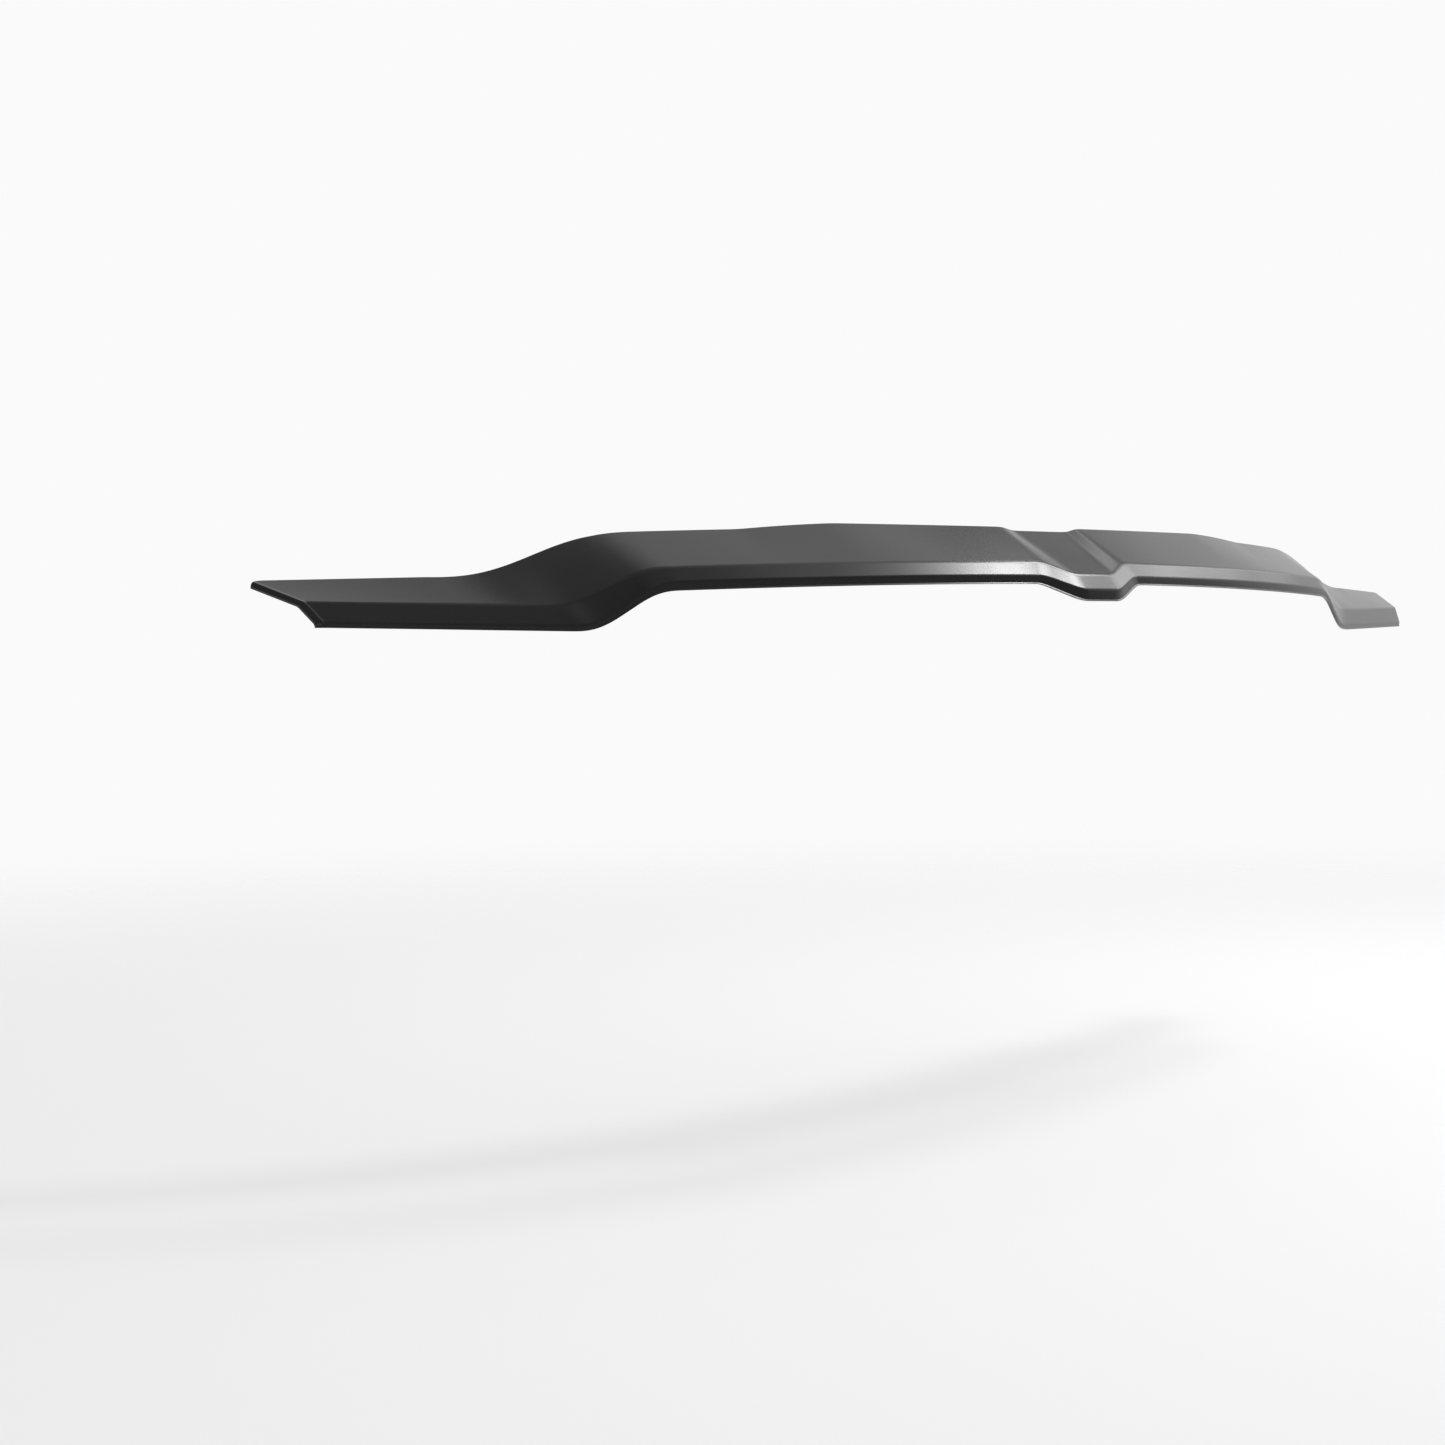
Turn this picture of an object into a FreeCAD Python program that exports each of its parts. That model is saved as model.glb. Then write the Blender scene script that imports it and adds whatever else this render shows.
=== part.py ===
# A hood bug deflector: one thin moulded shell that wraps the leading edge of a hood,
# with the strips of double-sided foam tape that hold it there.
#
# Frame: X runs along the deflector, -Y is the front and +Z is up. The origin is on the middle
# plane, on the line of the front ridge as it runs on either side of the nose.
# Everything is in millimetres.
import FreeCAD, Part
import math
import os
from FreeCAD import Vector

doc = FreeCAD.newDocument("hood_bug_deflector")

SIZES = {
    # the shell as a whole
    "middle_half": 457.5,       # middle plane to the start of a shoulder
    "shoulder_rear": 201.0,     # length of a shoulder along the rear edge
    "shoulder_ridge": 120.0,    # and along the front ridge
    "shoulder_front": 97.5,     # and along the lower fold and the bottom edge
    "wing": 126.5,              # end of the shoulder's rear edge to the wing's end, at the ridge
    "wall": 3.0,                # thickness of the moulded sheet
    "plan_radius": 1231.0,      # sweep of the front ridge, seen from above
    "plan_arc": 500.0,          # half width at which that arc runs out into a straight wing
    "crown_drop": 10.7,         # sinking of the whole section from the middle to the shoulders
    # the section beside the nose, measured from the front ridge
    "rear_rise": 36.0,          # rear edge above the ridge
    "rear_reach": 66.5,         # rear edge behind the ridge
    "fold_drop": 14.5,          # lower fold below the ridge
    "fold_reach": 11.5,         # lower fold in front of the ridge
    "band_height": 8.6,         # lower band, from the fold to the bottom edge
    "band_tuck": 0.4,           # bottom edge behind the fold
    "lip_height": 1.8,          # lip along the bottom edge, which slants outward
    "lip_reach": 1.5,
    "ridge_round": 16.0,        # outer radii of the two folds
    "fold_round": 6.0,
    # the raised middle of the top
    "dome_rise": 4.8,
    "dome_hollow": 2.8,         # sinking of that rise from its ends to the middle
    "dome_gap": 98.5,           # its outer ends to the shoulders
    "dome_fade": 98.0,          # length over which it rises
    "dome_soft": 10.0,          # half length of the rounding where the rise starts and ends
    # the shoulders, where the shell steps down to the wings
    "ridge_step": 35.9,
    "front_step": 37.5,
    "rear_step": 44.4,
    "shoulder_lead": 20.0,      # length on either side of a shoulder that is drawn as finely
    # the wings, over the lamps
    "wing_reach": 43.3,         # rear edge behind the ridge
    "wing_band": 5.5,           # height of the lower band
    "wing_ridge_slope": 0.016,  # rise of the ridge for each millimetre outward
    "wing_front_slope": 0.016,
    "wing_rear_slope": -0.027,
    "end_slant": 22.8,          # degrees by which the end leans outward towards the rear
    "end_tilt": 13.2,           # and upward
    "end_straight": 30.0,       # length of the wing that keeps the whole of that slant
    "end_depth": 8.0,           # depth of the edge turned down along the end
    "end_round": 4.0,
    "tip_cut": 6.0,             # rear edge cut back at the very end
    "tip_length": 14.0,         # length over which it rounds off to there
    # the nose, and the channel behind it
    "floor_half_rear": 38.0,    # half widths of the floor
    "floor_half_ridge": 26.9,
    "floor_half_front": 27.2,
    "wall_half_rear": 54.0,     # half widths over the side walls
    "wall_half_ridge": 56.8,
    "wall_half_front": 68.8,
    "nose_fade": 24.0,          # length beside the walls over which the sections straighten
    "nose_soft": 8.0,           # half length of the rounding along the floor and the walls
    "nose_drop_rear": 3.8,      # floor below the rest of the shell
    "nose_drop_ridge": 12.8,
    "nose_drop_fold": 14.4,
    "nose_reach_ridge": 15.4,   # floor in front of the rest of the shell
    "nose_reach_front": 17.2,
    "nose_band": 11.8,          # height of the lower band
    # the foam tape
    "tape_glue": 0.35,          # film of adhesive between the shell and the foam
    "tape_thick": 1.2,
    "tape_rear_width": 12.0,
    "tape_front_width": 8.0,
    "tape_margin": 6.0,         # rear edge of the shell to the rear strips
    "tape_nose_half": 18.0,     # half length of the pads in the nose
    "tape_nose_gap": 15.0,      # nose to the first long strip
    "tape_space": 32.0,         # from that strip to the next, which is as long
    "tape_shoulder_gap": 20.0,  # end of the strips to the shoulder, on either side
    "tape_end_gap": 30.0,       # end of the wing strips to the wing's end
}
sheet = doc.addObject("Spreadsheet::Sheet", "Sizes")
for row, (name, value) in enumerate(SIZES.items(), start=1):
    sheet.set(f"A{row}", name)
    sheet.set(f"B{row}", str(value))
    sheet.setAlias(f"B{row}", name)
doc.recompute()
size = {name: float(sheet.get(name)) for name in SIZES}

# Half widths at which the dome starts to sink and ends, and at which the shoulders and the wings
# end, along each edge.
dome_end = size["middle_half"] - size["dome_gap"]
dome_half = dome_end - size["dome_fade"]
ridge_end = size["middle_half"] + size["shoulder_ridge"]
front_end = size["middle_half"] + size["shoulder_front"]
rear_end = size["middle_half"] + size["shoulder_rear"]
wing_end = rear_end + size["wing"]


def ease(at, start, end):
    """0 up to start, 1 from end on, and a smooth S between them."""
    part = min(max((at - start) / (end - start), 0.0), 1.0)
    return part ** 3 * (part * (6.0 * part - 15.0) + 10.0)


def ramp(at, stops, soft):
    """Straight runs through the stops, each a pair of a place and a value. A parabola rounds
    the corners over soft on both sides."""
    slopes = [(high - low) / (b - a) for (a, low), (b, high) in zip(stops, stops[1:])]
    value = stops[0][1] + slopes[0] * (at - stops[0][0])
    for (corner, _), before, after in zip(stops[1:], slopes, slopes[1:]):
        past = at - corner
        if past >= soft:
            value += (after - before) * past
        elif past > -soft:
            value += (after - before) * (past + soft) ** 2 / (4.0 * soft)
    return value


# The shell hangs on four rails: rear edge, front ridge, lower fold and bottom edge. Without the
# nose each is a depth and a height for every half width.
def sweep(x):
    """Depth of the front ridge: an arc that runs out into a straight."""
    radius, arc = size["plan_radius"], size["plan_arc"]
    depth = radius - math.sqrt(radius ** 2 - min(x, arc) ** 2)
    return depth + max(x - arc, 0.0) * arc / math.sqrt(radius ** 2 - arc ** 2)


def crown(x):
    return -size["crown_drop"] * (min(x, size["plan_arc"]) / size["plan_arc"]) ** 2


def rear_rail(x):
    step = ease(x, size["middle_half"], rear_end)
    stops = (0.0, 1.0), (dome_half, 1.0), (dome_end, 0.0), (2.0 * wing_end, 0.0)
    dome = ramp(x, stops, size["dome_soft"])
    rise = size["dome_rise"] - size["dome_hollow"] * (1.0 - (x / dome_half) ** 2)
    height = crown(x) + size["rear_rise"] + rise * dome - size["rear_step"] * step
    height += size["wing_rear_slope"] * max(x - rear_end, 0.0)
    return sweep(x) + size["rear_reach"] + (size["wing_reach"] - size["rear_reach"]) * step, height


def ridge_rail(x):
    step = ease(x, size["middle_half"], ridge_end)
    height = crown(x) - size["ridge_step"] * step
    return sweep(x), height + size["wing_ridge_slope"] * max(x - ridge_end, 0.0)


def fold_rail(x):
    step = ease(x, size["middle_half"], front_end)
    height = crown(x) - size["fold_drop"] - size["front_step"] * step
    height += (size["wing_band"] - size["band_height"]) * step
    height += size["wing_front_slope"] * max(x - front_end, 0.0)
    return sweep(x) - size["fold_reach"], height


def bottom_rail(x):
    step = ease(x, size["middle_half"], front_end)
    depth, height = fold_rail(x)
    band = size["band_height"] + (size["wing_band"] - size["band_height"]) * step
    return depth + size["band_tuck"], height - band


# Each rail with the half widths of the nose's floor and of its walls along it, and with how far
# the floor stands in front of the shell and below it.
down = size["fold_drop"] / (size["fold_drop"] + size["band_height"])
FOLD_HALF_WALL = size["wall_half_ridge"] + (size["wall_half_front"] - size["wall_half_ridge"]) * down
RAILS = (
    (rear_rail, size["floor_half_rear"], size["wall_half_rear"], 0.0, size["nose_drop_rear"]),
    (ridge_rail, size["floor_half_ridge"], size["wall_half_ridge"], size["nose_reach_ridge"],
     size["nose_drop_ridge"]),
    (fold_rail, size["floor_half_front"], FOLD_HALF_WALL, size["nose_reach_front"], size["nose_drop_fold"]),
    (bottom_rail, size["floor_half_front"], size["wall_half_front"], size["nose_reach_front"],
     size["nose_drop_fold"] + size["nose_band"] - size["band_height"]),
)
FLAT_FROM = size["wall_half_front"] + size["nose_fade"]


def lean(ridge_x):
    """How far a section leans outward for each millimetre of depth, as Y, and of height, as Z."""
    slopes = [math.tan(math.radians(size[name])) for name in ("end_slant", "end_tilt")]
    return Vector(0.0, *slopes) * ease(ridge_x, ridge_end, wing_end - size["end_straight"])


def leaned(move, ridge_x):
    """A move within the section, with the way outward that it takes along."""
    return Vector(lean(ridge_x).dot(move), move.y, move.z)


def corners(ridge_x, inset=0.0):
    """The section through the front ridge at ridge_x, from the rear edge to the bottom edge, set
    in from the outside by inset. In the nose it follows the floor and the walls."""
    floor, wall, soft = size["floor_half_ridge"], size["wall_half_ridge"], size["nose_soft"]
    nose = ramp(ridge_x, ((0.0, 1.0), (floor, 1.0), (wall, 0.0), (FLAT_FROM, 0.0)), soft)
    ridge = Vector(0.0, *ridge_rail(ridge_x))
    points = []
    for rail, rail_floor, rail_wall, reach, drop in RAILS:
        x = own = ramp(ridge_x, ((0.0, 0.0), (floor, rail_floor), (wall, rail_wall), (FLAT_FROM, FLAT_FROM),
                                 (2.0 * wing_end, 2.0 * wing_end)), soft)
        for _ in range(30):
            x = own + lean(ridge_x).dot(Vector(0.0, *rail(x)) - ridge)
        depth, height = rail(x)
        points.append(Vector(x, depth - nose * reach, height - nose * drop))
    beyond = max((ridge_x - wing_end) / size["tip_length"] + 1.0, 0.0)
    points[0] += (points[1] - points[0]).normalize() * size["tip_cut"] * beyond ** 2
    normals = []
    for start, end in zip(points, points[1:]):
        along = Vector(0.0, end.y - start.y, end.z - start.z).normalize()
        normals.append(Vector(0.0, -along.z, along.y))
    moved = []
    for point, before, after in zip(points, normals[:1] + normals, normals + normals[-1:]):
        moved.append(point + leaned((before + after) * (inset / (1.0 + before.dot(after))), ridge_x))
    return moved


def lip(points, ridge_x):
    """Root and tip of the lip along the bottom edge of a section with these outer corners."""
    fold, bottom = points[-2:]
    down = (bottom - fold).normalize()
    out = leaned(Vector(0.0, down.z, -down.y), ridge_x)
    return bottom - down * size["lip_height"], bottom + out * size["lip_reach"]


def outline(points, rounds):
    """Runs of points along the corners of a section: two points for a flat, and three for a fold
    that is rounded. Without rounds the folds are sharp."""
    if not rounds:
        return list(zip(points, points[1:]))
    loop, start = [], points[0]
    for before, fold, after, radius in zip(points, points[1:], points[2:], rounds):
        back, on = (before - fold).normalize(), (after - fold).normalize()
        reach = radius * math.tan((math.pi - back.getAngle(on)) / 2.0)
        loop += [(start, fold + back * reach), (fold + back * reach, fold, fold + on * reach)]
        start = fold + on * reach
    return loop + [(start, points[-1])]


def section(ridge_x, outside, inside):
    """The closed section of the sheet between two insets from its outside. A negative ridge_x
    stands for the side of -X."""
    outer, inner = corners(abs(ridge_x), outside), corners(abs(ridge_x), inside)[::-1]
    root, tip = lip(outer, abs(ridge_x))
    loop = outline(outer[:-1] + [root], (size["ridge_round"] - outside, size["fold_round"] - outside))
    loop += [(root, tip), (tip, inner[0])] + outline(inner, ()) + [(inner[-1], outer[0])]
    return [[Vector(math.copysign(p.x, ridge_x), p.y, p.z) for p in run] for run in loop]


def skinned(sections, places, start, end):
    """A solid whose faces run smoothly through the sections, each at its place along X, cut off
    flat at start and at end."""
    surfaces = []
    for strip in zip(*sections):
        curves = [Part.BSplineCurve() for _ in strip[0]]
        for curve, points in zip(curves, zip(*strip)):
            curve.interpolate(Points=list(points), Parameters=places)
            curve.segment(start, end)
        surface = Part.BSplineSurface()
        surface.buildFromPolesMultsKnots(
            [list(row) for row in zip(*(curve.getPoles() for curve in curves))],
            curves[0].getMultiplicities(), [len(curves)] * 2, curves[0].getKnots(), [0.0, 1.0],
            False, False, curves[0].Degree, len(curves) - 1)
        surfaces.append(surface)
    faces = [surface.toShape() for surface in surfaces]
    for place in (start, end):
        faces.append(Part.Face(Part.Wire([surface.uIso(place).toShape() for surface in surfaces])))
    shell = Part.Shell(faces)
    shell.sewShape()
    return Part.Solid(shell)


def add_feature(name, shape):
    feature = doc.addObject("Part::Feature", name)
    feature.Shape = shape
    feature.Label = name
    return feature


def spread(start, end, count):
    """Places from start on, evenly spaced, without the end."""
    return [start + (end - start) * step / count for step in range(count)]


# The sheet from wing to wing, up to where its ends turn down.
floor, wall, soft = size["floor_half_ridge"], size["wall_half_ridge"], size["nose_soft"]
turn_from = wing_end - size["end_round"]
places = [floor / 2.0, floor - soft, floor, floor + soft, (floor + wall) / 2.0]
places += [wall - soft, wall, wall + soft]
shoulder_from, shoulder_to = size["middle_half"] - size["shoulder_lead"], rear_end + size["shoulder_lead"]
dome_soft, tip_from = size["dome_soft"], wing_end - size["tip_length"]
places += spread(FLAT_FROM, dome_half - dome_soft, 4) + [dome_half - dome_soft, dome_half + dome_soft]
places += [dome_end - dome_soft, dome_end + dome_soft, (dome_end + dome_soft + shoulder_from) / 2.0]
places += spread(shoulder_from, shoulder_to, 11) + spread(shoulder_to, tip_from, 3)
places += [tip_from, (tip_from + turn_from) / 2.0, turn_from]
places = [-x for x in places[::-1]] + [0.0] + places
sheet_body = add_feature("Moulded_sheet", skinned([section(x, 0.0, size["wall"]) for x in places],
                                                  places, -turn_from, turn_from))

# Along each end the sheet turns down over a rounding to a deeper edge.
turn = [math.radians(angle) for angle in (0.0, 30.0, 60.0, 90.0)]
ends = [turn_from + size["end_round"] * math.sin(angle) for angle in turn]
sinking = [size["end_round"] * (1.0 - math.cos(angle)) for angle in turn]
end_edge = add_feature("Turned_edge", skinned(
    [section(x, sunk, size["end_depth"]) for x, sunk in zip(ends, sinking)], turn, turn[0], turn[-1]))


def add_mirrored(name, source):
    mirrored = doc.addObject("Part::Mirroring", name)
    mirrored.Source = source
    mirrored.Normal = Vector(1.0, 0.0, 0.0)
    mirrored.Label = name
    return mirrored


shield = doc.addObject("Part::MultiFuse", "hood_shield")
shield.Shapes = [sheet_body, end_edge, add_mirrored("Turned_edge_left", end_edge)]
shield.Refine = True
shield.Label = "hood_shield"


# Foam tape, seated on the inside of the top (flat 0) and of the front band (flat 1).
TAPE_WIDTHS = ("tape_rear_width", "tape_front_width")


def seat(flat, ridge_x):
    """The two edges of the tape on the section at ridge_x: at a fixed distance from the rear
    edge on the top, and along the middle of the front band."""
    near, far = corners(ridge_x, size["wall"] + size["tape_glue"])[flat:flat + 2]
    width, length = size[TAPE_WIDTHS[flat]], (far - near).Length
    start = size["tape_margin"] if flat == 0 else (length - width) / 2.0
    along = (far - near) / length
    return near + along * start, near + along * (start + width)


def add_pad(name, flat):
    """A flat pad across the middle of the nose."""
    one, two = seat(flat, size["tape_nose_half"])
    across, along = Vector(1.0, 0.0, 0.0), Vector(0.0, two.y - one.y, two.z - one.z)
    pad = doc.addObject("Part::Box", name)
    pad.setExpression("Length", "2 * Sizes.tape_nose_half")
    pad.setExpression("Width", f"Sizes.{TAPE_WIDTHS[flat]}")
    pad.setExpression("Height", "Sizes.tape_thick")
    pad.Placement = FreeCAD.Placement(Vector(-size["tape_nose_half"], one.y, one.z),
                                      FreeCAD.Rotation(across, along, across.cross(along)))
    pad.Label = name
    return pad


def tape(flat, start, end):
    """A strip that follows the shell from start to end."""
    sections = []
    for x in places:
        one, two = (Vector(math.copysign(p.x, x), p.y, p.z) for p in seat(flat, abs(x)))
        inward = leaned(Vector(0.0, one.z - two.z, two.y - one.y).normalize() * size["tape_thick"], abs(x))
        inward.x = math.copysign(1.0, x) * inward.x
        three, four = two + inward, one + inward
        sections.append([(one, two), (two, three), (three, four), (four, one)])
    return skinned(sections, places, start, end)


strips = [add_pad("tape_nose_rear", 0), add_pad("tape_nose_front", 1)]
first = size["wall_half_front"] + size["tape_nose_gap"]
last = size["middle_half"] - size["tape_shoulder_gap"]
length = (last - first - size["tape_space"]) / 2.0
for place, start, end in (("inner", first, first + length), ("outer", last - length, last),
                          ("wing", rear_end + size["tape_shoulder_gap"], wing_end - size["tape_end_gap"])):
    for flat, edge in enumerate(("rear", "front")):
        right = add_feature(f"tape_{edge}_{place}_right", tape(flat, start, end))
        strips += [right, add_mirrored(f"tape_{edge}_{place}_left", right)]

doc.recompute()
for item in doc.Objects:
    if "Invalid" in item.State or "Error" in item.State:
        raise RuntimeError(f"{item.Name} did not build: {item.State}")
os.makedirs("parts", exist_ok=True)
for node in [shield] + strips:
    shape = node.Shape
    if shape.isNull() or not shape.isValid() or len(shape.Solids) != 1 or shape.Volume <= 0.0:
        raise RuntimeError(f"{node.Label} is not one valid solid")
for node in [shield] + strips:
    node.Shape.exportStep(f"parts/{node.Label}.step")
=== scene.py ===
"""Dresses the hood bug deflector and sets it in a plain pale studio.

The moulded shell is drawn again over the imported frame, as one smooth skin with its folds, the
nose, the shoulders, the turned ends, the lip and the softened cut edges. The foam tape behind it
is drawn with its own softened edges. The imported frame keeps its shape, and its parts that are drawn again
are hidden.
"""
import logging
import math
from dataclasses import dataclass
from enum import Enum

import bpy
import numpy as np
from mathutils import Matrix, Vector


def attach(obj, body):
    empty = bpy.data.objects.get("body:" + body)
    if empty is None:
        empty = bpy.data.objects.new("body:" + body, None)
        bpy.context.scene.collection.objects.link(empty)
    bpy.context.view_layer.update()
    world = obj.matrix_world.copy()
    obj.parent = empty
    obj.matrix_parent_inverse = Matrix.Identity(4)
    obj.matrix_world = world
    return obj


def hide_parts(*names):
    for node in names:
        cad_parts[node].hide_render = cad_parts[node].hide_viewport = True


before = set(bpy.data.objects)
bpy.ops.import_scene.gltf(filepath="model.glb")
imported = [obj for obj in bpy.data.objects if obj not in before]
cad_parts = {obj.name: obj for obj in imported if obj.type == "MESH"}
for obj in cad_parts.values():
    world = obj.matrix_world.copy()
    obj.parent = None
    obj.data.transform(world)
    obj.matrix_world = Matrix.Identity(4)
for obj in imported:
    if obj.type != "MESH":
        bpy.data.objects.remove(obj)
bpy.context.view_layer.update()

log = logging.getLogger("hood_bug_deflector")

MM = 0.001
ROUND_SHARE = 0.45  # the longest that a corner's curve may take of the flat beside it
LEAN_STEPS = 30  # enough for a leaned section to settle on its rails
Array = np.ndarray


def linear(colour: str) -> tuple[float, float, float, float]:
    """Turns an sRGB hex colour into linear light.

    Args:
        colour: six hex digits, such as "1c1c1e".

    Returns:
        Red, green, blue and an alpha of 1, as the shader sockets take them.
    """
    parts = [int(colour[at:at + 2], 16) / 255.0 for at in (0, 2, 4)]
    red, green, blue = (p / 12.92 if p <= 0.04045 else ((p + 0.055) / 1.055) ** 2.4 for p in parts)
    return red, green, blue, 1.0


def ease(at: Array, start: float, end: float) -> Array:
    """An S from 0 at start to 1 at end, the fifth-degree curve that is flat at both ends.

    Args:
        at: places along the S.
        start: where it leaves 0.
        end: where it reaches 1.

    Returns:
        The height of the S at each place.
    """
    part = np.clip((at - start) / (end - start), 0.0, 1.0)
    return part ** 3 * (part * (6.0 * part - 15.0) + 10.0)


def soft_ramp(at: Array, stops: tuple[tuple[float, float], ...], soft: float) -> Array:
    """Straight runs through the stops, with each corner rounded over soft on both sides.

    A hinge, which is 0 before its corner and rises by 1 for each step after it, becomes a
    parabola within soft of the corner. The runs are the first run plus one hinge for each
    change of slope.

    Args:
        at: places along the runs.
        stops: pairs of a place and a value.
        soft: half length of the rounding.

    Returns:
        The value at each place.
    """
    slopes = [(high - low) / (b - a) for (a, low), (b, high) in zip(stops, stops[1:])]
    value = stops[0][1] + slopes[0] * (at - stops[0][0])
    for (corner, _), before, after in zip(stops[1:], slopes, slopes[1:]):
        past = at - corner
        hinge = np.where(past < soft, (past + soft) ** 2 / (4.0 * soft), past)
        value = value + (after - before) * np.where(past < -soft, 0.0, hinge)
    return value


class Edge(Enum):
    """The four long edges of the shell, in order from the rear."""

    REAR = 0
    RIDGE = 1
    FOLD = 2
    BOTTOM = 3


@dataclass(frozen=True)
class Nose:
    """The dropped middle of the shell along one long edge, in millimetres.

    Attributes:
        floor: half width of the floor.
        wall: half width over the side walls.
        reach: floor in front of the rest of the shell.
        drop: floor below the rest of the shell.
    """

    floor: float
    wall: float
    reach: float
    drop: float


@dataclass
class ShellForm:
    """The form of the shell: where its four long edges run. Every size is in millimetres."""

    middle_half: float = 457.5
    shoulder_rear: float = 201.0
    shoulder_ridge: float = 120.0
    shoulder_front: float = 97.5
    wing: float = 126.5
    wall: float = 3.0
    plan_radius: float = 1231.0
    plan_arc: float = 500.0
    crown_drop: float = 10.7
    rear_rise: float = 36.0
    rear_reach: float = 66.5
    fold_drop: float = 14.5
    fold_reach: float = 11.5
    band_height: float = 8.6
    band_tuck: float = 0.4
    lip_height: float = 1.8
    lip_reach: float = 1.5
    dome_rise: float = 4.8
    dome_hollow: float = 2.8
    dome_gap: float = 98.5
    dome_fade: float = 98.0
    dome_soft: float = 10.0
    ridge_step: float = 35.9
    front_step: float = 37.5
    rear_step: float = 44.4
    wing_reach: float = 43.3
    wing_band: float = 5.5
    wing_ridge_slope: float = 0.016
    wing_front_slope: float = 0.016
    wing_rear_slope: float = -0.027
    end_slant: float = 22.8
    end_tilt: float = 13.2
    end_straight: float = 30.0
    tip_cut: float = 6.0
    tip_length: float = 14.0
    nose_fade: float = 24.0
    nose_soft: float = 8.0
    noses: tuple[Nose, ...] = (Nose(38.0, 54.0, 0.0, 3.8), Nose(26.9, 56.8, 15.4, 12.8),
                               Nose(27.2, 64.33, 17.2, 14.4), Nose(27.2, 68.8, 17.2, 17.6))

    @property
    def dome_end(self) -> float:
        """Half width at which the dome ends."""
        return self.middle_half - self.dome_gap

    @property
    def dome_half(self) -> float:
        """Half width at which the dome starts to sink."""
        return self.dome_end - self.dome_fade

    @property
    def ridge_end(self) -> float:
        """Half width at which the shoulder ends along the ridge."""
        return self.middle_half + self.shoulder_ridge

    @property
    def front_end(self) -> float:
        """Half width at which the shoulder ends along the fold and the bottom edge."""
        return self.middle_half + self.shoulder_front

    @property
    def rear_end(self) -> float:
        """Half width at which the shoulder ends along the rear edge."""
        return self.middle_half + self.shoulder_rear

    @property
    def wing_end(self) -> float:
        """Half width of the shell at the ridge."""
        return self.rear_end + self.wing

    def sweep(self, x: Array) -> Array:
        """Depth of the ridge: a circle's arc seen from above that runs out into its tangent.

        Args:
            x: half widths.

        Returns:
            The depth behind the middle of the ridge.
        """
        radius, arc = self.plan_radius, self.plan_arc
        depth = radius - np.sqrt(radius ** 2 - np.minimum(x, arc) ** 2)
        return depth + np.maximum(x - arc, 0.0) * arc / math.sqrt(radius ** 2 - arc ** 2)

    def rail(self, edge: Edge, x: Array) -> tuple[Array, Array]:
        """Depth and height of one long edge, without the nose.

        The height is a parabola for the crown, less an S for the shoulder, plus a slope on the
        wing. The depth is the sweep of the ridge plus the edge's own distance from it.

        Args:
            edge: which of the long edges.
            x: half widths.

        Returns:
            The depth and the height at each half width.
        """
        crown = -self.crown_drop * (np.minimum(x, self.plan_arc) / self.plan_arc) ** 2
        if edge is Edge.REAR:
            step = ease(x, self.middle_half, self.rear_end)
            dome = soft_ramp(x, ((0.0, 1.0), (self.dome_half, 1.0), (self.dome_end, 0.0),
                                 (2.0 * self.wing_end, 0.0)), self.dome_soft)
            hollow = self.dome_hollow * (1.0 - (x / self.dome_half) ** 2)
            height = crown + self.rear_rise + (self.dome_rise - hollow) * dome - self.rear_step * step
            height = height + self.wing_rear_slope * np.maximum(x - self.rear_end, 0.0)
            return self.sweep(x) + self.rear_reach + (self.wing_reach - self.rear_reach) * step, height
        if edge is Edge.RIDGE:
            step = ease(x, self.middle_half, self.ridge_end)
            height = crown - self.ridge_step * step
            return self.sweep(x), height + self.wing_ridge_slope * np.maximum(x - self.ridge_end, 0.0)
        step = ease(x, self.middle_half, self.front_end)
        band = (self.wing_band - self.band_height) * step
        height = crown - self.fold_drop - self.front_step * step + band
        height = height + self.wing_front_slope * np.maximum(x - self.front_end, 0.0)
        if edge is Edge.FOLD:
            return self.sweep(x) - self.fold_reach, height
        return self.sweep(x) - self.fold_reach + self.band_tuck, height - self.band_height - band

    def lean(self, ridge_x: Array) -> Array:
        """How far a section leans outward for each millimetre of depth and of height.

        Args:
            ridge_x: half width of each section at the ridge.

        Returns:
            Two slopes for each section, an S towards the end.
        """
        slopes = np.tan(np.radians([self.end_slant, self.end_tilt]))
        return ease(ridge_x, self.ridge_end, self.wing_end - self.end_straight)[:, None] * slopes

    def corners(self, ridge_x: Array, inset: Array) -> Array:
        """Corners of the sections that cross the ridge at ridge_x.

        Each corner lies on its rail, lowered and brought forward by the nose. It is then moved
        inward by inset along both flats that meet in it, as a mitre is.

        Args:
            ridge_x: half width of each section at the ridge.
            inset: distance in from the outside of each section.

        Returns:
            An array of sections by four corners by three coordinates, on the side of +X.
        """
        own_nose = self.noses[Edge.RIDGE.value]
        straight = self.noses[Edge.BOTTOM.value].wall + self.nose_fade
        far = 2.0 * self.wing_end
        nose = soft_ramp(ridge_x, ((0.0, 1.0), (own_nose.floor, 1.0), (own_nose.wall, 0.0), (far, 0.0)),
                         self.nose_soft)
        lean = self.lean(ridge_x)
        ridge = np.stack(self.rail(Edge.RIDGE, ridge_x), -1)
        points = np.empty((len(ridge_x), len(Edge), 3))
        for edge, part in zip(Edge, self.noses):
            stops = ((0.0, 0.0), (own_nose.floor, part.floor), (own_nose.wall, part.wall),
                     (straight, straight), (far, far))
            own = soft_ramp(ridge_x, stops, self.nose_soft)
            x = own
            for _ in range(LEAN_STEPS):
                x = own + (lean * (np.stack(self.rail(edge, x), -1) - ridge)).sum(-1)
            depth, height = self.rail(edge, x)
            points[:, edge.value] = np.stack([x, depth - nose * part.reach, height - nose * part.drop], -1)
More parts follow.
